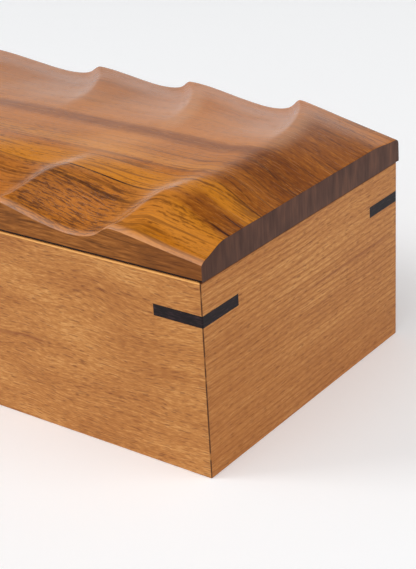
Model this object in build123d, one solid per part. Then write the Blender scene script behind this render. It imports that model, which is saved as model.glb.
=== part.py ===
from build123d import *
import os
from math import cos, pi, radians, sin, sqrt

# Sliding-lid box: four mitred walls with corner keys, a bottom panel held in grooves, and a carved lid
# on a slide panel that runs in grooves along the two long walls.
# Origin: centre of the body's footprint on the table. +X to the closed end, +Y to the back, +Z up.
# The lid leaves the box towards -X. All lengths are in millimetres.

# ---- Body ----
box_length = 300.0
box_width = 131.5
box_height = 76.0
wall = 12.0
edge_round = 0.5  # sanded radius on the body's outside edges

# ---- Bottom panel, held in a groove all round ----
bottom_thickness = 6.0
bottom_lift = 5.0  # table to the underside of the panel
bottom_groove_depth = 5.0
bottom_headroom = 0.15  # slack above the panel in its groove
bottom_play = 0.5  # room for the panel to swell, at each edge

# ---- Lid groove near the top of the walls ----
lip = 4.2  # wall left standing above the groove
lid_groove_height = 4.0
lid_groove_depth = 5.0

# ---- Corner keys: black splines let into each mitre ----
key_drop = 12.1  # rim to the top of the key
key_thickness = 4.5
key_cover = 2.1  # wood left between the key and the inside corner

# ---- Lid fits ----
run_play = 0.2  # above and below the tongue in its groove
side_play = 0.5  # tongue to groove bottom, and field to lip, each side
stop_play = 0.3  # closed end: tongue and field to the end wall
mitre_play = 0.3  # end strip to the mitres of the long walls
lid_gap = 0.4  # rim to the underside of the carved lid

# ---- Carved lid: blank ----
lid_thickness = 20.1
lid_end_thickness = 10.8
front_setback = 0.5
back_overhang = 0.9
end_overhang = 0.6
back_foot_round = 2.0  # rounding of the lower back edge
planing_allowance = 2.0  # spare wood under the carving, planed off flat

# ---- Carved lid: long top edges ----
front_arris_width = 1.8  # the front arris runs over softly from the top and meets the side at an edge
front_arris_drop = 1.2
front_arris_foot = 60.0  # degrees of the quarter round that are left off at the side face
back_arris_round = 2.3
front_shoulder_drop = 7.1  # the front of the lid is eased down by this much at its edge
front_shoulder_width = 23.5
back_shoulder_drop = 0.8
back_shoulder_width = 22.0
front_end_drop = 3.6  # the same easing where the top meets the end grain
front_end_width = 13.5
back_end_drop = 1.6
back_end_width = 22.0

# ---- Carved lid: waves ----
first_crest = 24.0  # closed end of the body to the first crest, on the lid's centre line
crest_pitch = 50.0
crest_wander = (0.0, -1.3, -1.0, 12.5, 10.0)  # hand-cut spacing: each crest's shift away from the closed end
last_run = 30.0  # least length left for the slope at the opening end
crest_bow_front = 19.4  # a crest's front end lies this much further from the closed end than its middle
crest_bow_back = 29.0
crest_bend = 2.4  # how late the bow comes: higher keeps the middle straighter
first_crest_bow = 0.73  # the first crest's share of the full bow
front_scoop = 6.05  # depth of the scoops at the front edge
front_scoop_reach = 44.0  # how far they run in from that edge
back_scoops = (5.5, 4.2, 4.6)  # depths at the back edge, from the closed end on
back_scoop_reach = 62.0

# Shape of one wave at the front edge and at the back edge. From a crest it falls steeply to the trough,
# then rises slowly to the next crest. Values are shares of the run or the fall that they divide.
trough_place = (0.36, 0.26)
steep_start = (0.33, 0.28)
steep_start_fall = (0.19, 0.29)
steep_foot = (0.78, 0.83)
trough_run = (0.36, 0.26)
crest_run = (0.05, 0.30)
crest_sink = (-0.08, 0.03)

arris_steps = 3  # slices that draw each rounded arris
field_steps = 14  # slices across the rest of the lid

# ---- Derived places ----
groove_top = box_height - lip
groove_floor = groove_top - lid_groove_height
tongue_bottom = groove_floor + run_play
tongue_top = groove_top - run_play
lid_underside = box_height + lid_gap

key_depth = wall * sqrt(2) - key_cover
key_leg = key_depth * sqrt(2)
key_bottom = box_height - key_drop - key_thickness

lid_front = -box_width / 2 + front_setback
lid_back = box_width / 2 + back_overhang
lid_width = lid_back - lid_front
lid_right = box_length / 2 + end_overhang
lid_left = -box_length / 2 - end_overhang
crest_room = box_length - first_crest - last_run - crest_bow_back
crest_count = int(crest_room // crest_pitch) + 1


def block(low, high):
    """Rectangular block between two corners."""
    size = [b - a for a, b in zip(low, high)]
    return Pos(*low) * Box(*size, align=(Align.MIN, Align.MIN, Align.MIN))


def sanded_outline(top):
    """Outside of the body with its edges rounded, up to the height top."""
    outline = extrude(Rectangle(box_length, box_width), top)
    return fillet(outline.edges(), edge_round)


def corner_key(side_x, side_y):
    """Triangular spline that fills the slot sawn across one corner, flush with both faces."""
    x, y = side_x * box_length / 2, side_y * box_width / 2
    corners = [(x, y), (x - side_x * key_leg, y), (x, y - side_y * key_leg)]
    triangle = make_face(Polyline(*corners, close=True))
    return extrude(Pos(0, 0, key_bottom) * triangle, key_thickness, dir=(0, 0, 1))


def wall_stock(length, rim):
    """Grooved and mitred board along X, its outer face on y = 0, its inner face on y = wall."""
    board = block((-length / 2, 0, 0), (length / 2, wall, rim))
    bottom_groove = block(
        (-length / 2, wall - bottom_groove_depth, bottom_lift),
        (length / 2, wall, bottom_lift + bottom_thickness + bottom_headroom),
    )
    lid_groove = block(
        (-length / 2, wall - lid_groove_depth, groove_floor),
        (length / 2, wall, groove_top),
    )
    return (board - bottom_groove - lid_groove) & mitred_plan(length, rim)


def mitred_plan(length, height):
    """Trapezium with 45 degree ends, as tall as the board."""
    inner = length / 2 - wall
    corners = [(-length / 2, 0), (length / 2, 0), (inner, wall), (-inner, wall)]
    return extrude(make_face(Polyline(*corners, close=True)), height, dir=(0, 0, 1))


def place_on_side(piece, side):
    """Turns a board drawn along X to its side of the box."""
    turns = {
        "front": Pos(0, -box_width / 2, 0),
        "right": Pos(box_length / 2, 0, 0) * Rot(0, 0, 90),
        "back": Pos(0, box_width / 2, 0) * Rot(0, 0, 180),
        "left": Pos(-box_length / 2, 0, 0) * Rot(0, 0, -90),
    }
    return turns[side] * piece


def body_pieces():
    """The four walls and the keys that lock their mitres."""
    outline = sanded_outline(box_height)
    corners = {
        "front_right_key": (1, -1),
        "front_left_key": (-1, -1),
        "back_right_key": (1, 1),
        "back_left_key": (-1, 1),
    }
    keys = {name: corner_key(*signs) for name, signs in corners.items()}
    boards = {
        "front_wall": ("front", box_length, box_height),
        "back_wall": ("back", box_length, box_height),
        "right_end_wall": ("right", box_width, box_height),
        # The wall at the opening end stops at the groove floor, so that the lid can pass over it.
        "left_end_wall": ("left", box_width, groove_floor),
    }
    pieces = {}
    for name, (side, length, rim) in boards.items():
        board = place_on_side(wall_stock(length, rim), side) & outline
        for key in keys.values():
            board = board - key
        pieces[name] = board
    for name, key in keys.items():
        pieces[name] = key & outline
    return pieces


def bottom_panel():
    """Flat panel that rests on the floor of the bottom groove."""
    inset = wall - bottom_groove_depth + bottom_play
    plan = Rectangle(box_length - 2 * inset, box_width - 2 * inset)
    return extrude(Pos(0, 0, bottom_lift) * plan, bottom_thickness)


def lid_slide_panel():
    """Rebated board under the lid: a tongue in the wall grooves, a thicker field between the lips."""
    tongue_side = box_width / 2 - wall + lid_groove_depth - side_play
    field_side = box_width / 2 - wall - side_play
    tongue = block(
        (-box_length / 2 + wall - lid_groove_depth, -tongue_side, tongue_bottom),
        (box_length / 2 - wall + lid_groove_depth - stop_play, tongue_side, tongue_top),
    )
    field = block(
        (-box_length / 2 + wall, -field_side, tongue_bottom),
        (box_length / 2 - wall - stop_play, field_side, lid_underside),
    )
    return tongue + field


def lid_end_strip():
    """Top of the opening-end wall, sawn off along the groove and fixed under the lid."""
    length = box_width - 2 * mitre_play
    strip = block((-length / 2, 0, groove_floor + run_play), (length / 2, wall, lid_underside))
    tongue_rebate = block(
        (-length / 2, wall - lid_groove_depth, 0),
        (length / 2, wall, tongue_top),
    )
    strip = (strip - tongue_rebate) & mitred_plan(length, lid_underside)
    return place_on_side(strip, "left") & sanded_outline(lid_underside)


def ease(share):
    """Soft step: 0 at 0, 1 at 1, level at both ends."""
    share = min(1.0, max(0.0, share))
    return share * share * (3 - 2 * share)


def from_edge(distance, reach):
    """1 at an edge, easing to 0 at the given reach from it."""
    return ease(1 - distance / reach)


def crest_stations(across):
    """X of every crest line, from the closed end on, at a place across the lid from -1 to 1."""
    edge_bow = crest_bow_front if across < 0 else crest_bow_back
    bow = edge_bow * abs(across) ** crest_bend
    stations = []
    for number in range(crest_count):
        wander = crest_wander[number % len(crest_wander)]
        share = first_crest_bow if number == 0 else 1.0
        distance = first_crest + number * crest_pitch + wander + share * bow
        stations.append(box_length / 2 - distance)
    return stations


def wave(right, left, crest_z, depth, from_front_share):
    """Two curves in a slice: from one crest steeply down to the trough, and slowly up to the next."""
    pairs = (trough_place, steep_start, steep_start_fall, steep_foot, trough_run, crest_run, crest_sink)
    shares = [front + (back - front) * from_front_share for front, back in pairs]
    trough_share, start, start_fall, foot, level, rise_end, sink = shares
    trough = right - trough_share * (right - left)
    trough_z = crest_z - depth
    steep = [
        (right, crest_z),
        (right - start * (right - trough), crest_z - start_fall * depth),
        (trough + foot * (right - trough), trough_z),
        (trough, trough_z),
    ]
    rise = [
        (trough, trough_z),
        (trough - level * (trough - left), trough_z),
        (left + rise_end * (trough - left), crest_z - sink * depth),
        (left, crest_z),
    ]
    return [steep, rise]


def lid_slice(y, top_drop):
    """Outline of the carved lid in the plane at y, as a face."""
    from_front, from_back = y - lid_front, lid_back - y
    across = (from_front - from_back) / lid_width
    crest_z = lid_underside + lid_thickness - top_drop
    crest_z -= front_shoulder_drop * from_edge(from_front, front_shoulder_width)
    crest_z -= back_shoulder_drop * from_edge(from_back, back_shoulder_width)
    end_z = lid_underside + lid_end_thickness - top_drop
    end_z -= front_end_drop * from_edge(from_front, front_end_width)
    end_z -= back_end_drop * from_edge(from_back, back_end_width)
    front_cut = from_edge(from_front, front_scoop_reach)
    back_cut = from_edge(from_back, back_scoop_reach)
    crispness = max(front_cut, back_cut)

    crests = crest_stations(across)
    fall = crest_z - end_z
    run = lid_right - crests[0]
    curves = [
        [
            (lid_right, end_z),
            (lid_right - run / 3, end_z + fall / 3),
            (crests[0] + run / 3, crest_z - fall / 3 * crispness),
            (crests[0], crest_z),
        ]
    ]
    for number, (right, left) in enumerate(zip(crests, crests[1:])):
        back_scoop = back_scoops[min(number, len(back_scoops) - 1)]
        depth = front_scoop * front_cut + back_scoop * back_cut
        curves += wave(right, left, crest_z, depth, (1 + across) / 2)
    run = crests[-1] - lid_left
    last_depth = front_scoop * front_cut + back_scoops[-1] * back_cut
    curves.append(
        [
            (crests[-1], crest_z),
            (crests[-1] - run / 3, crest_z - last_depth - fall / 6),
            (lid_left + run / 3, end_z + fall / 3),
            (lid_left, end_z),
        ]
    )
    top = [Bezier(*[(x, y, z) for x, z in corners]) for corners in curves]
    foot = lid_underside - planing_allowance
    rest = Polyline((lid_left, y, end_z), (lid_left, y, foot), (lid_right, y, foot), (lid_right, y, end_z))
    return make_face(Wire([*top, *rest.edges()]))


def arris_band(edge, inward, width, drop, foot):
    """Rounded band along one long edge; foot is the angle at which the rounding meets the side."""
    slices = []
    for step in range(arris_steps + 1):
        angle = foot + (pi / 2 - foot) * step / arris_steps
        inset = width * (1 - cos(angle) / cos(foot))
        top_drop = drop * (1 - sin(angle)) / (1 - sin(foot))
        slices.append(lid_slice(edge + inward * inset, top_drop))
    return loft(slices, ruled=True)


def carved_lid():
    """The lid board: a smooth loft across the field, and a rounded band along each long edge."""
    field_front = lid_front + front_arris_width
    field_width = lid_back - back_arris_round - field_front
    # The slices lie closer together towards the long edges, where the carving changes fastest.
    field = [(1 - cos(pi * step / field_steps)) / 2 for step in range(field_steps + 1)]
    carving = loft([lid_slice(field_front + field_width * share, 0.0) for share in field])
    front_foot = radians(front_arris_foot)
    front_band = arris_band(lid_front, 1, front_arris_width, front_arris_drop, front_foot)
    back_band = arris_band(lid_back, -1, back_arris_round, back_arris_round, 0.0)
    return (carving + front_band + back_band) & planed_blank()


def planed_blank():
    """The board that the lid is carved from: flat below, its lower back edge rounded."""
    low, high = lid_underside, lid_underside + lid_thickness + planing_allowance
    front, back = lid_front - planing_allowance, lid_back
    corners = [(front, low), (back, low), (back, high), (front, high)]
    section = make_face(Polyline(*corners, close=True))
    foot = section.vertices().group_by(Axis.Y)[0].sort_by(Axis.X)[-1]
    section = fillet(foot, back_foot_round)
    return extrude(Plane.YZ * section, box_length, both=True)


def main():
    pieces = body_pieces()
    pieces["bottom_panel"] = bottom_panel()
    pieces["lid_slide_panel"] = lid_slide_panel()
    pieces["lid_end_strip"] = lid_end_strip()
    pieces["carved_lid"] = carved_lid()
    os.makedirs("parts", exist_ok=True)
    for name, piece in pieces.items():
        export_step(piece, f"parts/{name}.step")


main()
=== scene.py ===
from math import cos, pi, radians, sin

import bmesh
import bpy
from mathutils import Matrix, Vector, noise


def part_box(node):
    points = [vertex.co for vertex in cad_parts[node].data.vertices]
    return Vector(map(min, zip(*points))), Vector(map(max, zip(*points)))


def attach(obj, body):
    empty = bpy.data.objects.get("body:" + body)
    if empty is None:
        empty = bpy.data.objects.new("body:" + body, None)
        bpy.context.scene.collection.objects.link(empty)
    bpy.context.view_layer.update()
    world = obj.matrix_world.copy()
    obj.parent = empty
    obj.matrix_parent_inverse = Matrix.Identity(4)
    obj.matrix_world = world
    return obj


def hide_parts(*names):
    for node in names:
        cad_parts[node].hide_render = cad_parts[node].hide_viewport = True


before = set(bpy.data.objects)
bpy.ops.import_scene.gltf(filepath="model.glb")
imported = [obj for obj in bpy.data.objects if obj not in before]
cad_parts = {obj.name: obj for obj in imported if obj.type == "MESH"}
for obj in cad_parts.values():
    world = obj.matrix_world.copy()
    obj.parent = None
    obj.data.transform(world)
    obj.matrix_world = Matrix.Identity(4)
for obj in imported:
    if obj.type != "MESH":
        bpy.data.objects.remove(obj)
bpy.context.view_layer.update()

# Looks of a sliding-lid wooden box: light straight-grained walls with black corner keys, and a darker
# lid carved in waves. X runs along the box toward its closed end, Y across it from front to back and Z up.
# Lengths are in metres, and colours are written as on a paint chart, 0 to 255, where not said otherwise.
MM = 0.001


def mm(*lengths):
    """Lengths written in millimetres."""
    return [length * MM for length in lengths]


# ---- Places read from the frame ----
body_low = Vector((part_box("left_end_wall")[0].x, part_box("front_wall")[0].y, 0.0))
body_high = Vector((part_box("right_end_wall")[1].x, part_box("back_wall")[1].y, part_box("front_wall")[1].z))
lid_low, lid_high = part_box("carved_lid")

# ---- Carving of the lid ----
lid_thickness = 20.1 * MM
lid_end_thickness = 10.8 * MM
front_arris_width = 2.6 * MM
front_arris_drop = 1.2 * MM
front_arris_foot = radians(60)  # the front arris meets the side face at an edge
back_arris_round = 2.3 * MM
first_crest = 24.0 * MM  # closed end of the body to the first crest, on the lid's centre line
crest_pitch = 50.0 * MM
crest_wander = mm(0.0, -1.3, -1.0, 12.5, 10.0)
crest_bow_front = 19.4 * MM
crest_bow_back = 29.0 * MM
crest_bend = 2.4
first_crest_bow = 0.73  # share of the full bow that the first crest has
front_scoop = 6.05 * MM
front_scoop_reach = 44.0 * MM
back_scoops = mm(5.5, 4.2, 4.6, 4.6)
back_scoop_reach = 62.0 * MM
front_shoulder_drop = 7.1 * MM
front_shoulder_width = 23.5 * MM
back_shoulder_drop = 0.8 * MM
back_shoulder_width = 22.0 * MM
front_end_drop = 3.6 * MM
front_end_width = 13.5 * MM
back_end_drop = 1.6 * MM
back_end_width = 22.0 * MM
back_foot_round = 2.0 * MM
end_edge_round = 0.35 * MM

# Shape of one wave at the front edge and at the back edge, as shares of its run or fall.
trough_place = (0.36, 0.26)
steep_start = (0.33, 0.28)
steep_start_fall = (0.19, 0.29)
steep_foot = (0.78, 0.83)
trough_run = (0.36, 0.26)
crest_run = (0.05, 0.30)
crest_sink = (-0.08, 0.03)

# ---- Fineness of the lid's surface ----
columns_per_curve = 26
arris_rows = 6
field_rows = 84
crest_softening = 2  # passes that round the crests over a little
ridge_softening = 5  # and as many more on the ridges between the front scoops
softened_columns = 6
hand_tool_depth = 0.10 * MM  # slight unevenness left by hand finishing
hand_tool_size = 14.0 * MM
sharp_angle = radians(34)  # edges that turn more than this stay crisp
touching = 0.001 * MM
upright = 0.999  # how squarely a face looks along the box when it counts as end grain

# ---- Colours of the lid's wood ----
light_gold = (212, 132, 44)
gold = (208, 128, 30)
honey = (192, 112, 18)
tan = (194, 114, 38)
straw = (196, 117, 42)
chestnut = (186, 105, 18)
russet = (182, 108, 40)
hazel = (166, 95, 30)
walnut = (152, 83, 20)
umber = (136, 71, 14)
black = (0, 0, 0)

grain_line = (40, 18, 14)
dark_fibre = (84, 40, 14)
bright_fibre = (226, 142, 48)
dark_streak = (70, 32, 16)
open_pore = (68, 34, 20)
fine_pore = (70, 34, 20)
dull_scoop = (104, 64, 36)
# painted highlight along the front arris
painted_arris_highlight = (212, 170, 144)
# painted highlight just behind the crests
painted_crest_highlight = (226, 178, 142)
# painted highlight on the ridge behind the first scoop
painted_ridge_highlight = (236, 160, 84)
dusky_back = (70, 40, 24)
dark_side = (98, 50, 16)
dark_corner = (58, 38, 30)
foot_shadow = (14, 7, 5)

# Tones: the colour at each strength of a pattern, from 0 to 1.
side_tones = [(0.36, (96, 54, 18)), (0.50, (136, 80, 30)), (0.64, (166, 104, 46))]
end_tones = [(0.30, (62, 40, 32)), (0.50, (84, 56, 45)), (0.70, (108, 72, 54))]

# ---- Figure of the lid's wood, in millimetres across from the middle, front first ----
top_bands = [
    (-64.0, honey),
    (-60.0, russet),
    (-42.0, russet),
    (-38.5, gold),
    (-30.5, gold),
    (-27.5, honey),
    (-24.0, chestnut),
    (-19.5, gold),
    (-14.0, honey),
    (-3.0, tan),
    (1.5, walnut),
    (5.5, walnut),
    (9.5, straw),
    (26.0, straw),
    (42.0, chestnut),
    (64.0, chestnut),
]
slope_bands = [
    (-63.0, gold),
    (-58.5, honey),
    (-55.0, light_gold),
    (-50.0, light_gold),
    (-46.0, gold),
    (-43.5, walnut),
    (-35.0, walnut),
    (-32.0, gold),
    (-26.0, gold),
    (-23.0, walnut),
    (-19.0, walnut),
    (-15.0, hazel),
    (-8.0, walnut),
    (-2.0, umber),
    (8.0, umber),
    (14.0, walnut),
    (46.0, walnut),
    (54.0, hazel),
    (61.0, straw),
    (64.0, straw),
]
# Thin dark lines: place, half the width, strength.
top_lines = [
    (-39.6, 0.75, 0.95),
    (-46.8, 1.00, 0.75),
    (-27.4, 0.60, 0.45),
    (-23.0, 0.90, 0.40),
    (-15.5, 0.50, 0.35),
    (-12.0, 0.50, 0.40),
    (-7.5, 0.60, 0.35),
]
slope_lines = [
    (-43.0, 0.75, 0.95),
    (-36.0, 0.60, 0.80),
    (-24.5, 0.60, 0.60),
    (-20.5, 0.45, 0.45),
    (-9.5, 0.60, 0.45),
    (-1.0, 0.70, 0.50),
    (3.0, 0.50, 0.35),
]
line_core = 0.3  # share of a line's width that is fully dark

# ---- Where the lid's figure changes ----
# Two lengths are a soft step: 0 at the first and 1 at the second. Four are a soft span: 0 at the outer
# two and 1 between the inner two.
figure_drift = 5.0 * MM  # slow wandering of all bands across the board
streak_drift = 2.0 * MM  # and the quicker one of their edges
top_sag = 2.5 * MM  # bend of the bands toward the front edge, before the first crest
top_sag_along = mm(74, 114, 114, 122)
slope_sag = 6.5 * MM  # and again down the slope to the closed end
slope_sag_along = mm(112, 154)
painted_slope_shade_and_oil = 0.10  # the slope is darker by this share: partly painted shade, as it faces away from the main light, and partly the oil its cut fibres soak up
slope_start = mm(-6, 5)  # the slope's own figure begins about the first crest
slope_delay = 6.0 * MM  # and later than that near the front edge
slope_delay_across = mm(-12, -40)
strong_lines_along = mm(44, 76)  # the top's lines grow darker toward the closed end
calm_across = mm(-26, -6)  # evener wood from here to the back
golden_along = mm(98, 112)  # brighter front edge just before the first crest
golden_across = mm(-38, -44)
open_grain_along = mm(60, 66, 100, 112)  # short dark pores in the first scoop
open_grain_across = mm(-41, -46)
dull_scoop_along = mm(90, 68)  # duller wood in the scoop's far half
ridge_highlight_along = mm(48, 68, 76, 96)  # painted highlight: a pale patch on the ridge behind the first scoop
ridge_highlight_across = mm(-32, -22, -8, 4)
dusky_along = mm(60, 36)  # darker back, away from the closed end
dusky_across = mm(8, 26)
side_arch = 6.0 * MM  # rise and fall of the long sides' lines
dark_side_along = mm(110, 150)
dark_corner_across = mm(-30, -66)

# ---- Where the lid gets painted highlights and a painted shadow line, where its arris is smoothed, and where it is cut ----
highlit_smooth_arris_band = mm(3.0, 0.6)  # painted highlight and smoothed grain, from the front edge
highlighted_crests = (0, 1)  # crests with a painted highlight just behind them, counted from the closed end
crest_highlight_across = mm(2, 20, 40, 62)
crest_highlight_width = mm(7, 0)  # on each side of the crest
crest_highlight_shift = 2.0 * MM  # toward the closed end
side_face = mm(-0.14, -0.04)  # from the long edges
end_face = mm(0.3, 0.1)  # from the ends
foot_line = mm(0.75, 0.50)  # over the underside

# ---- Walls ----
wall_tones = [(0.22, (150, 90, 42)), (0.42, (170, 109, 54)), (0.58, (187, 126, 66)), (0.80, (212, 156, 92))]
wall_pore = (96, 52, 38)
# deeper colour, painted where the right end wall shows less sheen
painted_low_sheen_wall = (160, 90, 20)
wall_streak = (120, 56, 30)
glue_line = (62, 30, 16)
# painted highlight on the front wall's top edge, where its small rounding catches the light
painted_rim_highlight = (246, 182, 104)
shaded_rim = (104, 56, 22)
ring_spacing = 2.3 * MM  # between the fine dark lines of straight-grained wood
deepening_along = mm(10, -60)  # deeper colour toward the front and the foot, painted where the wall shows less sheen
deepening_up = mm(60, 0)
streak_width = mm(1.2, 0.1)  # from the middle of a single dark streak
streak_end = 6.0 * MM  # over which it fades out
rim_height = mm(-0.50, -0.30)  # from the top of the walls
glue_line_width = mm(0.50, 0.22)  # from the plane of the mitre

# Single dark streaks on a wall: start and stop along it, height, strength.
front_streak = (*mm(52, 76, 36), 0.5)
right_streak = (*mm(0, 60, 47), 0.35)

# ---- Keys and hidden panels ----
key_tones = [(0.35, (14, 8, 11)), (0.55, (28, 18, 22)), (0.75, (60, 43, 45))]
panel_tones = [(0.30, (158, 104, 56)), (0.50, (188, 134, 78)), (0.70, (208, 160, 102))]
panel_pore = (120, 74, 44)

# ---- Studio ----
# The world's colours are strengths of light, 0 to 1.
backdrop_top = radians(1)  # height over the horizon up to which the surroundings are pale
ceiling_start = radians(54)  # and from which they are dim
backdrop_colour = (0.98, 0.98, 0.98)
ceiling_colour = (0.11, 0.11, 0.11)
window_colour = (0.80, 0.80, 0.80)  # overhead in front, where a large window stands
window_edge = (0.20, -0.60)  # Y of the direction at which the window begins, and is full
softboxes = [
    # name, place in metres, side of the square in metres, watts
    ("left_softbox", (-1.45, -1.15, 1.6), 0.8, 13.8),
    ("front_softbox", (0.1, -1.3, 2.3), 1.8, 9.2),
    ("right_softbox", (1.6, 0.3, 2.0), 1.6, 18.0),
]
floor_reach = 6.0  # metres from its middle to each side
floor_tones = [(0.0, (250, 250, 251)), (1.0, (252, 252, 253))]
floor_glow_colour = (0.88, 0.95, 1.0, 1.0)  # a little cool, against the warm light thrown back by the wood
floor_glow = 0.085
camera_from_corner = Vector((0.26945, -0.34855, 0.28018))  # from the foot of the near corner
camera_yaw, camera_down, camera_roll = 0.65234, 0.43450, -0.05784
camera_sensor = 36.0  # millimetres, as the lens is
camera_lens = 92.73


class Value:
    """What a socket hands on. Arithmetic on a number adds Math nodes."""

    def __init__(self, finish, socket):
        self.finish = finish
        self.socket = socket

    def maths(self, operation, *others):
        inputs = dict(enumerate((self, *others)))
        return self.finish.node("ShaderNodeMath", {"operation": operation}, inputs).value(0)

    def __add__(self, other):
        return self.maths("ADD", other)

    def __sub__(self, other):
        return self.maths("SUBTRACT", other)

    def __mul__(self, other):
        return self.maths("MULTIPLY", other)

    def __pow__(self, other):
        return self.maths("POWER", other)

    def __rsub__(self, other):
        return self * -1 + other

    __radd__ = __add__
    __rmul__ = __mul__

    def size(self):
        return self.maths("ABSOLUTE")

    def between(self, low, high):
        """0 below low, 1 above high, with a soft step; the other way round where high is the smaller."""
        settings = {"interpolation_type": "SMOOTHSTEP"}
        inputs = {0: self, 1: low, 2: high, 3: 0.0, 4: 1.0}
        return self.finish.node("ShaderNodeMapRange", settings, inputs).value(0)

    def within(self, start, full_from, full_to, end):
        """1 between the middle two places, easing to 0 at the outer two."""
        return self.between(start, full_from) * self.between(end, full_to)


class Node:
    """A shader node whose outputs are handed on as Values."""

    def __init__(self, finish, node):
        self.finish = finish
        self.made = node

    def value(self, output):
        return Value(self.finish, self.made.outputs[output])


class Shading:
    """Nodes of a material or of the world, added one by one."""

    def __init__(self, tree):
        self.tree = tree

    def node(self, kind, settings, inputs):
        """Adds a node: its settings first, then values for or links to its input sockets."""
        made = self.tree.nodes.new(kind)
        for name, setting in settings.items():
            if name == "stops":
                self.fill_ramp(made.color_ramp, setting)
            else:
                setattr(made, name, setting)
        for name, given in inputs.items():
            self.feed(made.inputs[name], given)
        return Node(self, made)

    def feed(self, socket, given):
        if isinstance(given, Value):
            self.tree.links.new(given.socket, socket)
        else:
            socket.default_value = given

    def fill_ramp(self, ramp, stops):
        for _ in stops[2:]:
            ramp.elements.new(0.5)
        for element, (place, colour) in zip(ramp.elements, stops):
            element.position = place
            element.color = (*linear(*colour), 1.0)

    def coordinates(self):
        return self.node("ShaderNodeTexCoord", {}, {}).value("Object")

    def split(self, vector):
        parts = self.node("ShaderNodeSeparateXYZ", {}, {0: vector})
        return parts.value(0), parts.value(1), parts.value(2)

    def join(self, x, y, z):
        return self.node("ShaderNodeCombineXYZ", {}, {0: x, 1: y, 2: z}).value(0)

    def mapped(self, vector, scale=(1.0, 1.0, 1.0), turn=(0.0, 0.0, 0.0), shift=(0.0, 0.0, 0.0)):
        inputs = {"Vector": vector, "Scale": scale, "Rotation": turn, "Location": shift}
        return self.node("ShaderNodeMapping", {}, inputs).value(0)

    def noise(self, vector, scale, detail=2.0, roughness=0.5):
        """Cloudy noise, stretched least in the direction whose scale is greatest."""
        place = self.mapped(vector, scale)
        inputs = {"Vector": place, "Scale": 1.0, "Detail": detail, "Roughness": roughness}
        return self.node("ShaderNodeTexNoise", {}, inputs).value(0)

    def ramp(self, factor, stops):
        return self.node("ShaderNodeValToRGB", {"stops": stops}, {0: factor}).value(0)

    def blend(self, factor, first, second):
        """Mixes two colours; a plain one is given as three strengths from 0 to 1."""
        first, second = [(*c, 1.0) if isinstance(c, tuple) else c for c in (first, second)]
        inputs = {0: factor, 6: first, 7: second}
        return self.node("ShaderNodeMix", {"data_type": "RGBA"}, inputs).value(2)

    def layered(self, colour, layers):
        """Lays tints over a colour one after another, each as strongly as its mask says."""
        for mask, tint in layers:
            colour = self.blend(mask, colour, linear(*tint))
        return colour


class Finish(Shading):
    """One material on a Principled surface."""

    def __init__(self, name):
        self.material = bpy.data.materials.new(name)
        self.material.use_nodes = True
        super().__init__(self.material.node_tree)
        self.surface = self.tree.nodes["Principled BSDF"]

    def relief(self, height, depth):
        bump = self.node("ShaderNodeBump", {}, {"Height": height, "Distance": depth})
        self.feed(self.surface.inputs["Normal"], bump.value(0))

    def dress(self, **sockets):
        """Sets or links the surface's own sockets, named with _ for a space."""
        for name, given in sockets.items():
            self.feed(self.surface.inputs[name.replace("_", " ")], given)
        return self.material

    def second_surface(self, share, **sockets):
        """Mixes another surface over the first where share is 1."""
        inputs = {name.replace("_", " "): given for name, given in sockets.items()}
        other = self.node("ShaderNodeBsdfPrincipled", {}, inputs)
        first = Value(self, self.surface.outputs[0])
        mixed = self.node("ShaderNodeMixShader", {}, {0: share, 1: first, 2: other.value(0)})
        self.feed(self.tree.nodes["Material Output"].inputs["Surface"], mixed.value(0))
        return self.material


def linear(red, green, blue):
    """A colour written as on a paint chart, 0 to 255, as the renderer wants it."""
    parts = [channel / 255 for channel in (red, green, blue)]
    return tuple(p / 12.92 if p <= 0.04045 else ((p + 0.055) / 1.055) ** 2.4 for p in parts)


# ---- Wood of the walls, keys and panels ----


def mitre_line(finish, x, y, z):
    """Mask of the thin dark glue line where two walls meet on the corner, broken here and there."""
    to_end = x.size() - body_high.x
    to_side = y.size() - body_high.y
    breaks = finish.noise(finish.join(0.0, 0.0, z), (160.0, 160.0, 160.0))
    return (to_end - to_side).size().between(*glue_line_width) * breaks.between(0.30, 0.50)


def wall_figure(finish, grain, across, cloudy, streaks, dashes, ring_lines):
    """Colour of the straight-grained wood, before pores and edges, and the pattern of its fibres."""
    cloud = finish.noise(grain, (18.0, 30.0, 45.0))
    bands = finish.noise(grain, (9.0, 40.0, 210.0))
    lines = finish.noise(grain, (24.0, 90.0, 440.0), roughness=0.6)
    fibres = finish.noise(grain, (260.0, 700.0, 1600.0), roughness=0.6)
    unevenness = finish.noise(grain, (12.0, 30.0, 60.0))
    rings = (across * (2 * pi / ring_spacing) + unevenness * 14.0).maths("SINE").between(0.1, 1.0)
    tone = (cloud - 0.5) * cloudy + (bands - 0.5) * streaks * 0.6 + (lines - 0.5) * streaks
    tone = tone + (fibres - 0.5) * dashes - (rings - 0.3) * unevenness * ring_lines
    return finish.ramp(tone + 0.5, wall_tones), fibres


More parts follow.
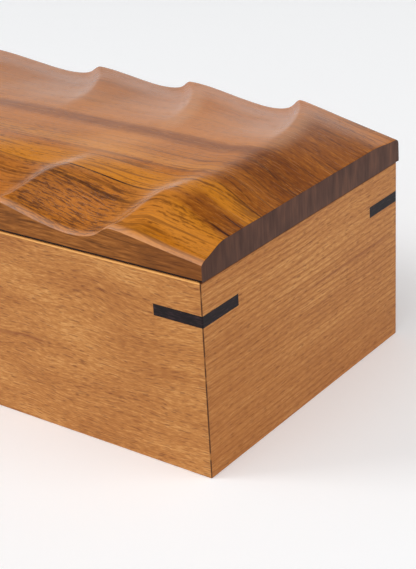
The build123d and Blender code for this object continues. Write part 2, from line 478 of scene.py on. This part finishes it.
def wall_wood(
    name, swirl, cloudy, streaks, dashes, ring_lines,
    turn=0.0, offset=(0.0, 0.0, 0.0), deepening=0.0, rim=None, marks=(),
):
    """Light brown wood, its grain along the board: soft streaks, cloudy figure and short dark dashes."""
    finish = Finish(name)
    place = finish.coordinates()
    x, y, z = finish.split(place)
    run = y if turn else x
    board = finish.mapped(place, turn=(0.0, 0.0, turn), shift=offset)
    along, thick, across = finish.split(board)
    wander = (finish.noise(board, (14.0, 20.0, 26.0)) - 0.5) * swirl
    across = across + wander
    grain = finish.join(along, thick, across)
    colour, fibres = wall_figure(finish, grain, across, cloudy, streaks, dashes, ring_lines)

    pores = finish.noise(grain, (240.0, 900.0, 1700.0), detail=1.0).between(0.58, 0.70)
    # deeper colour painted toward the front and the foot, where the wall shows less sheen
    near_corner = run.between(*deepening_along) * 0.5 + z.between(*deepening_up) * 0.5
    layers = [(pores * 0.45, wall_pore), (near_corner * deepening, painted_low_sheen_wall)]
    for start, stop, height, strength in marks:
        streak = (z + wander - height).size().between(*streak_width)
        streak = streak * run.between(start - streak_end, start + streak_end)
        streak = streak * run.between(stop + streak_end, stop - streak_end)
        layers.append((streak * strength, wall_streak))
    # painted light on the wall's top edge: a highlight on the front wall, a shadow under the lid's overhang
    # on the right end
    if rim:
        layers.append(((z - body_high.z).between(*rim_height) * 0.8, rim))
    layers.append((mitre_line(finish, x, y, z) * 0.9, glue_line))
    colour = finish.layered(colour, layers)
    finish.relief(pores * -1.0 + fibres * 0.5, depth=0.05 * MM)
    return finish.dress(Base_Color=colour, Roughness=0.48 + pores * 0.15, Specular_IOR_Level=0.18)


def panel_wood(name, offset):
    """Plain sanded wood of the pieces inside the box."""
    finish = Finish(name)
    place = finish.mapped(finish.coordinates(), shift=offset)
    broad = finish.noise(place, (3.0, 60.0, 40.0), detail=3.0, roughness=0.6)
    lines = finish.noise(place, (8.0, 420.0, 200.0), detail=3.0, roughness=0.6)
    pores = finish.noise(place, (150.0, 1400.0, 700.0)).between(0.58, 0.72)
    colour = finish.ramp(broad * 0.6 + lines * 0.4, panel_tones)
    colour = finish.layered(colour, [(pores * 0.5, panel_pore)])
    finish.relief(pores * -1.0, depth=0.04 * MM)
    return finish.dress(Base_Color=colour, Roughness=0.55 + pores * 0.1, Specular_IOR_Level=0.28)


def key_wood():
    """Black hardwood, almost without figure."""
    finish = Finish("black_key_wood")
    grain = finish.noise(finish.coordinates(), (260.0, 260.0, 1500.0), detail=3.0, roughness=0.6)
    finish.relief(grain, depth=0.03 * MM)
    return finish.dress(
        Base_Color=finish.ramp(grain, key_tones), Roughness=0.45 + grain * 0.1, Specular_IOR_Level=0.15
    )


# ---- Wood of the carved lid ----


def bowed(y, bow):
    """How far a crest has bent away from the closed end at y; bow is its bend at the edge."""
    return (y * (1 / lid_high.y)).size() ** crest_bend * bow


def past_first_crest(x, y):
    """Mask of the slope from the first crest down to the closed end."""
    delay = y.between(*slope_delay_across) * slope_delay
    from_crest = x + bowed(y, bow_share(0) * crest_bow_front) - delay - crest_middle(0)
    return from_crest.between(*slope_start)


def crest_highlight_mask(x, y, number):
    """Mask of the back half of a crest, where a highlight is painted into the colour."""
    from_crest = x + bowed(y, bow_share(number) * crest_bow_back) - crest_middle(number) - crest_highlight_shift
    return from_crest.size().between(*crest_highlight_width) * y.within(*crest_highlight_across)


def lid_bands(finish, across, bands, lines, strength):
    """Bands of light and dark wood across the lid, each running its whole length, and thin dark lines."""
    width = lid_high.y - lid_low.y
    stops = [((place * MM - lid_low.y) / width, colour) for place, colour in bands]
    colour = finish.ramp((across - lid_low.y) * (1 / width), stops)
    layers = []
    for place, half_width, share in lines:
        line = (across - place * MM).size().between(half_width * MM, half_width * line_core * MM)
        layers.append((line * strength * share, grain_line))
    return finish.layered(colour, layers)


def lid_figure(finish, place, across, past_crest):
    """The bands and lines of the top, and those of the slope, which bend to the front on their way down."""
    x, y, _ = finish.split(place)
    patchy = finish.noise(place, (38.0, 60.0, 60.0), detail=1.0).between(0.26, 0.44)
    strength = patchy * (0.4 + 0.6 * x.between(*strong_lines_along))
    top = lid_bands(finish, across, top_bands, top_lines, strength)
    golden = x.between(*golden_along) * y.between(*golden_across)
    top = finish.layered(top, [(golden * 0.55, light_gold)])
    sagging = across + x.between(*slope_sag_along) * slope_sag
    slope = lid_bands(finish, sagging, slope_bands, slope_lines, patchy)
    # partly painted shade, partly oil in the cut fibres: the slope darkens
    slope = finish.layered(slope, [(painted_slope_shade_and_oil, black)])
    return finish.blend(past_crest, top, slope)


def lid_top_colour(finish, place):
    """Streaked brown wood of the carved top, with painted highlights on the arris, the crests and a ridge,
    and the mask of its open grain.
    """
    x, y, z = finish.split(place)
    drift = finish.noise(place, (9.0, 14.0, 14.0)) - 0.5
    across = y + drift * figure_drift + x.within(*top_sag_along) * top_sag
    grain = finish.join(x, across, z * 0.35)
    streaks = finish.noise(grain, (9.0, 170.0, 110.0), roughness=0.55)
    lines = finish.noise(grain, (18.0, 560.0, 240.0), roughness=0.6)
    hairs = finish.noise(grain, (85.0, 1500.0, 700.0), roughness=0.6)
    dashes = finish.noise(grain, (170.0, 1750.0, 600.0), detail=3.0, roughness=0.65)
    mottle = finish.noise(grain, (420.0, 1300.0, 900.0), roughness=0.6)

    past_crest = past_first_crest(x, y)
    colour = lid_figure(finish, place, across + (streaks - 0.5) * streak_drift, past_crest)
    uneven = 1 - across.between(*calm_across) * (1 - past_crest) * 0.5
    shade = (streaks - 0.5) * 0.7 + (lines - 0.5) * 0.9 + (hairs - 0.5) * 0.9 + (mottle - 0.5) * 0.8
    in_scoop = y.between(*open_grain_across) * x.within(*open_grain_along)
    long_pores = dashes.between(0.47, 0.59) * in_scoop
    fine_pores = hairs.between(0.56, 0.68)
    # front arris band: a painted highlight in the colour, and smoothed open grain
    highlit_smooth_arris = (y - lid_low.y).between(*highlit_smooth_arris_band)
    ridge_highlight = x.within(*ridge_highlight_along) * y.within(*ridge_highlight_across)
    dusky = x.between(*dusky_along) * y.between(*dusky_across)
    layers = [
        ((shade * -1).between(0.0, 0.36) * uneven * 0.70, dark_fibre),
        (shade.between(0.0, 0.36) * 0.40, bright_fibre),
        (lines.between(0.55, 0.66) * uneven * 0.50, dark_streak),
        (in_scoop * x.between(*dull_scoop_along) * 0.26, dull_scoop),
        (long_pores * 0.68, open_pore),
        (fine_pores * 0.25, fine_pore),
        # painted highlight along the front arris, patchy
        (highlit_smooth_arris * (0.20 + mottle * 0.20), painted_arris_highlight),
        # painted highlight on the ridge behind the first scoop
        (ridge_highlight * 0.30, painted_ridge_highlight),
        (dusky * 0.14, dusky_back),
    ]
    # painted highlights just behind the crests
    layers += [(crest_highlight_mask(x, y, number) * 0.26, painted_crest_highlight) for number in highlighted_crests]
    open_grain = (long_pores * 0.6 + fine_pores * 0.5) * (1 - highlit_smooth_arris)
    return finish.layered(colour, layers), open_grain


def lid_side_colour(finish, place):
    """Long sides of the lid: fine dark lines lying along the board, darker toward the ends."""
    x, y, z = finish.split(place)
    arch = (finish.noise(place, (22.0, 10.0, 40.0), detail=1.0) - 0.5) * side_arch
    layers = finish.join(x, y, z + arch)
    lines = finish.noise(layers, (50.0, 60.0, 760.0), detail=3.0, roughness=0.65)
    hairs = finish.noise(layers, (170.0, 300.0, 1700.0), roughness=0.6)
    colour = finish.ramp(lines * 0.6 + hairs * 0.4, side_tones)
    return finish.layered(colour, [(x.size().between(*dark_side_along) * 0.45, dark_side)])


def lid_end_colour(finish, place):
    """End grain: dark, with faint upright streaks."""
    rays = finish.noise(place, (200.0, 900.0, 90.0), roughness=0.6)
    rings = finish.noise(place, (100.0, 160.0, 60.0))
    colour = finish.ramp(rays * 0.4 + rings * 0.6, end_tones)
    near_corner = finish.split(place)[1].between(*dark_corner_across)
    return finish.layered(colour, [(near_corner * 0.4, dark_corner)])


def lid_wood():
    """Streaked brown wood, rubbed to a soft gloss on the carved top and left duller where it is cut."""
    finish = Finish("carved_lid_wood")
    place = finish.coordinates()
    x, y, z = finish.split(place)
    top, open_grain = lid_top_colour(finish, place)
    half = (lid_high.y - lid_low.y) / 2
    middle = (lid_high.y + lid_low.y) / 2
    on_side = ((y - middle).size() - half).between(*side_face)
    on_end = (x.size() - lid_high.x).size().between(*end_face)
    foot = (z - lid_low.z).between(*foot_line)
    side = finish.layered(lid_side_colour(finish, place), [(foot * 0.95, foot_shadow)])
    cut = finish.blend(on_end, side, lid_end_colour(finish, place))
    finish.relief(open_grain * -1.0, depth=0.04 * MM)
    finish.dress(Base_Color=top, Roughness=0.23 + open_grain * 0.10, Specular_IOR_Level=0.26)
    return finish.second_surface(
        1 - (1 - on_side) * (1 - on_end), Base_Color=cut, Roughness=0.5, Specular_IOR_Level=0.12
    )


# ---- Carved lid ----


def ease(share):
    share = min(1.0, max(0.0, share))
    return share * share * (3 - 2 * share)


def from_edge(distance, reach):
    """1 at an edge, easing to 0 at the given reach from it."""
    return ease(1 - distance / reach)


def curve_point(corners, share):
    """Place on a four-point curve, 0 at its start and 1 at its end."""
    rest = 1 - share
    weights = (rest**3, 3 * rest**2 * share, 3 * rest * share**2, share**3)
    return sum((corner * weight for corner, weight in zip(corners, weights)), Vector((0.0, 0.0)))


def crest_middle(number):
    """X of a crest on the lid's centre line, counted from the closed end."""
    return body_high.x - first_crest - number * crest_pitch - crest_wander[number]


def bow_share(number):
    return first_crest_bow if number == 0 else 1.0


def crest_lines(across):
    """X of each crest at a place across the lid, from -1 at the front to 1 at the back."""
    bow = (crest_bow_front if across < 0 else crest_bow_back) * abs(across) ** crest_bend
    return [crest_middle(number) - bow_share(number) * bow for number in range(len(crest_wander))]


def lid_curves(y, drop):
    """The curves, as (x, z) corners, that make the lid's top in the plane at y."""
    from_front, from_back = y - lid_low.y, lid_high.y - y
    across = (from_front - from_back) / (lid_high.y - lid_low.y)
    crest_z = lid_low.z + lid_thickness - drop
    crest_z -= front_shoulder_drop * from_edge(from_front, front_shoulder_width)
    crest_z -= back_shoulder_drop * from_edge(from_back, back_shoulder_width)
    end_z = lid_low.z + lid_end_thickness - drop
    end_z -= front_end_drop * from_edge(from_front, front_end_width)
    end_z -= back_end_drop * from_edge(from_back, back_end_width)
    front_cut = from_edge(from_front, front_scoop_reach)
    back_cut = from_edge(from_back, back_scoop_reach)
    softness = 1 - max(front_cut, back_cut)
    crests = crest_lines(across)
    fall = crest_z - end_z

    run = lid_high.x - crests[0]
    curves = [
        [
            Vector((lid_high.x, end_z)),
            Vector((lid_high.x - run / 3, end_z + fall / 3)),
            Vector((crests[0] + run / 3, crest_z - fall / 3 * (1 - softness))),
            Vector((crests[0], crest_z)),
        ]
    ]
    for right, left, back_scoop in zip(crests, crests[1:], back_scoops):
        depth = front_scoop * front_cut + back_scoop * back_cut
        curves += wave(right, left, crest_z, depth, (1 + across) / 2)
    run = crests[-1] - lid_low.x
    depth = front_scoop * front_cut + back_scoops[-1] * back_cut
    curves.append(
        [
            Vector((crests[-1], crest_z)),
            Vector((crests[-1] - run / 3, crest_z - depth - fall / 6)),
            Vector((lid_low.x + run / 3, end_z + fall / 3)),
            Vector((lid_low.x, end_z)),
        ]
    )
    return curves


def wave(right, left, crest_z, depth, place):
    """Two curves from one crest down to the trough and up to the next; place is 0 at the front edge."""
    shares = (trough_place, steep_start, steep_start_fall, steep_foot, trough_run, crest_run, crest_sink)
    trough_at, lead, lead_fall, foot, level, rise_end, sink = [a + (b - a) * place for a, b in shares]
    trough = right - trough_at * (right - left)
    trough_z = crest_z - depth
    return [
        [
            Vector((right, crest_z)),
            Vector((right - lead * (right - trough), crest_z - lead_fall * depth)),
            Vector((trough + foot * (right - trough), trough_z)),
            Vector((trough, trough_z)),
        ],
        [
            Vector((trough, trough_z)),
            Vector((trough - level * (trough - left), trough_z)),
            Vector((left + rise_end * (trough - left), crest_z - sink * depth)),
            Vector((left, crest_z)),
        ],
    ]


def lid_rows():
    """(y, drop) of every row of points across the lid, close together on the rounded arrises."""
    rows = []
    for step in range(arris_rows):
        angle = front_arris_foot + (pi / 2 - front_arris_foot) * step / arris_rows
        inset = front_arris_width * (1 - cos(angle) / cos(front_arris_foot))
        drop = front_arris_drop * (1 - sin(angle)) / (1 - sin(front_arris_foot))
        rows.append((lid_low.y + inset, drop))
    front, back = lid_low.y + front_arris_width, lid_high.y - back_arris_round
    rows += [(front + (back - front) * step / field_rows, 0.0) for step in range(field_rows + 1)]
    for step in reversed(range(arris_rows)):
        angle = pi / 2 * step / arris_rows
        rows.append((lid_high.y - back_arris_round * (1 - cos(angle)), back_arris_round * (1 - sin(angle))))
    return rows


def carve(mesh):
    """Makes a flat grid and moves its points to the carved top."""
    rows = lid_rows()
    spans = 2 * len(crest_wander)
    columns = spans * columns_per_curve
    made = bmesh.ops.create_grid(mesh, x_segments=columns, y_segments=len(rows) - 1, size=0.5)
    lattice = {}
    for point in made["verts"]:
        column = round((0.5 - point.co.x) * columns)
        row = round((point.co.y + 0.5) * (len(rows) - 1))
        lattice[row, column] = point
    for row, (y, drop) in enumerate(rows):
        curves = lid_curves(y, drop)
        for column in range(columns + 1):
            span = min(column // columns_per_curve, spans - 1)
            share = column / columns_per_curve - span
            place = curve_point(curves[span], share)
            lattice[row, column].co = Vector((place.x, y, place.y))
        soften_crests(lattice, row, spans)
    for point in made["verts"]:
        uneven = noise.noise(point.co / hand_tool_size)
        point.co.z -= hand_tool_depth * (uneven + 1)


def soften_crests(lattice, row, spans):
    """Rounds the crests over a little, as sanding does."""
    from_front = lattice[row, 0].co.y - lid_low.y
    passes = crest_softening + round(ridge_softening * from_edge(from_front, front_scoop_reach))
    for _ in range(passes):
        for span in range(1, spans, 2):
            crest = span * columns_per_curve
            near = [lattice[row, crest + step] for step in range(-softened_columns, softened_columns + 1)]
            heights = [point.co.z for point in near]
            for place in range(1, 2 * softened_columns):
                near[place].co.z = heights[place] / 2 + (heights[place - 1] + heights[place + 1]) / 4


def lid_board(material):
    """The carved lid: a grid carved on top, closed down to a flat underside."""
    mesh = bmesh.new()
    carve(mesh)
    rim = [edge for edge in mesh.edges if edge.is_boundary]
    made = bmesh.ops.extrude_edge_only(mesh, edges=rim)["geom"]
    foot = [item for item in made if isinstance(item, bmesh.types.BMVert)]
    for point in foot:
        point.co.z = lid_low.z
    base = [edge for edge in mesh.edges if edge.is_boundary]
    bmesh.ops.edgeloop_fill(mesh, edges=base)
    back_foot = [edge for edge in base if on_back(edge)]
    round_edges(mesh, back_foot, back_foot_round, segments=4)
    end_rim = [edge for edge in mesh.edges if on_end_rim(edge)]
    round_edges(mesh, end_rim, end_edge_round, segments=2)
    bmesh.ops.recalc_face_normals(mesh, faces=mesh.faces)
    return finished_piece("lid_board", mesh, material)


def on_back(edge):
    return all(abs(point.co.y - lid_high.y) < touching for point in edge.verts)


def on_end_rim(edge):
    """True for the edges between the end grain and the carved top."""
    at_end = all(abs(abs(point.co.x) - lid_high.x) < touching for point in edge.verts)
    end_grain = [face for face in edge.link_faces if abs(face.normal.x) > upright]
    over_foot = edge.verts[0].co.z > lid_low.z + MM
    return at_end and len(edge.link_faces) == 2 and len(end_grain) == 1 and over_foot


def round_edges(mesh, edges, offset, segments):
    bmesh.ops.bevel(
        mesh, geom=edges, offset=offset, segments=segments, profile=0.5, affect="EDGES", material=-1
    )


def finished_piece(name, mesh, material):
    """Turns a bmesh into a piece that is smooth except at its crisp edges."""
    data = bpy.data.meshes.new(name)
    mesh.to_mesh(data)
    mesh.free()
    data.polygons.foreach_set("use_smooth", [True] * len(data.polygons))
    data.set_sharp_from_angle(angle=sharp_angle)
    data.materials.append(material)
    piece = bpy.data.objects.new(name, data)
    bpy.context.scene.collection.objects.link(piece)
    return piece


def assign(material, *nodes):
    """Gives CAD nodes a finish."""
    for node in nodes:
        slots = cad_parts[node].data.materials
        slots.clear()
        slots.append(material)


# ---- Setting ----


def studio_dome(world):
    """Pale all round up to the top of the backdrop, and dimmer overhead."""
    world.use_nodes = True
    world.node_tree.nodes.clear()
    sky = Shading(world.node_tree)
    direction = sky.node("ShaderNodeTexCoord", {}, {}).value("Generated")
    _, back, height = sky.split(direction)
    ceiling = sky.blend(back.between(*window_edge), ceiling_colour, window_colour)
    overhead = height.between(sin(backdrop_top), sin(ceiling_start))
    colour = sky.blend(overhead, backdrop_colour, ceiling)
    glow = sky.node("ShaderNodeBackground", {}, {"Color": colour, "Strength": 1.0})
    sky.node("ShaderNodeOutputWorld", {}, {"Surface": glow.value(0)})


def softbox(name, place, side, watts):
    """A square lamp that faces the box."""
    light = bpy.data.lights.new(name, "AREA")
    light.shape = "SQUARE"
    light.size = side
    light.energy = watts
    lamp = bpy.data.objects.new(name, light)
    lamp.location = place
    lamp.rotation_euler = (-Vector(place)).to_track_quat("-Z", "Y").to_euler()
    bpy.context.scene.collection.objects.link(lamp)


def floor_sheet():
    finish = Finish("pale_floor")
    dust = finish.noise(finish.coordinates(), (3.0, 3.0, 3.0))
    material = finish.dress(
        Base_Color=finish.ramp(dust, floor_tones), Roughness=0.7,
        Emission_Color=floor_glow_colour, Emission_Strength=floor_glow,
    )
    mesh = bmesh.new()
    bmesh.ops.create_grid(mesh, x_segments=1, y_segments=1, size=floor_reach)
    floor = finished_piece("floor", mesh, material)


def camera():
    """Stands off the near corner and looks along the box, a little down on it."""
    data = bpy.data.cameras.new("camera")
    data.sensor_width = camera_sensor
    data.lens = camera_lens
    data.clip_start = 10 * MM
    near_corner = Vector((body_high.x, body_low.y, 0.0))
    turn = Matrix.Rotation(camera_yaw, 4, "Z") @ Matrix.Rotation(pi / 2 - camera_down, 4, "X")
    turn = turn @ Matrix.Rotation(camera_roll, 4, "Z")
    eye = bpy.data.objects.new("camera", data)
    eye.matrix_world = Matrix.Translation(near_corner + camera_from_corner) @ turn
    bpy.context.scene.collection.objects.link(eye)
    bpy.context.scene.camera = eye


# ---- Putting it together ----
scene = bpy.context.scene
scene.view_settings.view_transform = "Standard"
scene.world = bpy.data.worlds.new("studio")
studio_dome(scene.world)
for lamp_settings in softboxes:
    softbox(*lamp_settings)
floor_sheet()
camera()

quarter = pi / 2  # turns the grain of the end walls
front_wood = wall_wood(
    "front_wall_wood", swirl=14 * MM, cloudy=0.55, streaks=0.35, dashes=0.85, ring_lines=0.06,
    rim=painted_rim_highlight, marks=[front_streak],
)
back_wood = wall_wood(
    "back_wall_wood", swirl=10 * MM, cloudy=0.6, streaks=0.45, dashes=0.7, ring_lines=0.08,
    offset=(0.7, 0.3, 0.2),
)
right_wood = wall_wood(
    "right_end_wood", swirl=3 * MM, cloudy=0.3, streaks=0.35, dashes=0.65, ring_lines=0.30,
    turn=quarter, offset=(1.3, 0.1, 0.5), deepening=0.35, rim=shaded_rim, marks=[right_streak],
)
left_wood = wall_wood(
    "left_end_wood", swirl=4 * MM, cloudy=0.4, streaks=0.4, dashes=0.65, ring_lines=0.25,
    turn=quarter, offset=(2.1, 0.6, 0.9),
)
assign(front_wood, "front_wall")
assign(back_wood, "back_wall")
assign(right_wood, "right_end_wall")
assign(left_wood, "left_end_wall", "lid_end_strip")
assign(key_wood(), "front_right_key", "front_left_key", "back_right_key", "back_left_key")
assign(panel_wood("plain_panel_wood", offset=(0.4, 0.2, 0.1)), "bottom_panel", "lid_slide_panel")

lid = lid_board(lid_wood())
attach(lid, "lid")
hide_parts("carved_lid")
